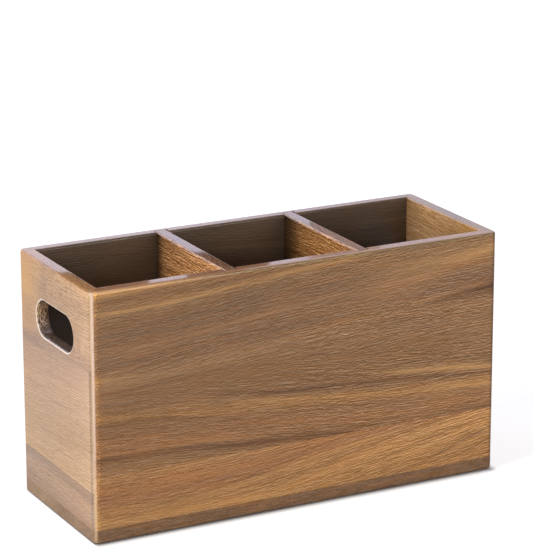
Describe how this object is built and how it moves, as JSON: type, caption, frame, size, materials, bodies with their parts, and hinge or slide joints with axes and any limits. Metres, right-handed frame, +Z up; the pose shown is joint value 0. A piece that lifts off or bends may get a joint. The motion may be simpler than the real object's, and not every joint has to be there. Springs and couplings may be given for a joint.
{
  "type": "wooden utensil caddy",
  "caption": "Rectangular mitred wooden caddy, open at the top, with dividers that lift out of upright grooves and a rounded handle slot in each end.",
  "frame": {"origin": "centre of the underside of the base board", "axes": "+X along the length, from the left end to the right end as seen from the front; +Y from the front wall to the back wall; +Z up"},
  "size_m": [0.3, 0.114, 0.17],
  "materials": {
    "acacia_front": "satin clear lacquer over brown acacia, long grain",
    "acacia_back": "satin clear lacquer over brown acacia, long grain",
    "acacia_left_end": "satin clear lacquer over lighter acacia, long grain",
    "acacia_right_end": "satin clear lacquer over lighter acacia, long grain",
    "acacia_base": "satin clear lacquer over dark acacia",
    "acacia_dividers": "satin clear lacquer over orange-brown acacia"
  },
  "bodies": {
    "box": {"base_board": "acacia_base", "front_panel_upper_stave": "acacia_front", "front_panel_lower_stave": "acacia_front", "back_panel_upper_stave": "acacia_back", "back_panel_lower_stave": "acacia_back", "left_end_upper_stave": "acacia_left_end", "left_end_middle_stave": "acacia_left_end", "left_end_lower_stave": "acacia_left_end", "right_end_upper_stave": "acacia_right_end", "right_end_middle_stave": "acacia_right_end", "right_end_lower_stave": "acacia_right_end"},
    "left_divider_board": {"left_divider": "acacia_dividers"},
    "right_divider_board": {"right_divider": "acacia_dividers"}
  },
  "joints": [
    {"name": "left_divider_lift", "type": "slide", "parent": "box", "child": "left_divider_board", "axis": [0, 0, 1], "range_m": [0, 0.15]},
    {"name": "right_divider_lift", "type": "slide", "parent": "box", "child": "right_divider_board", "axis": [0, 0, 1], "range_m": [0, 0.15]}
  ]
}
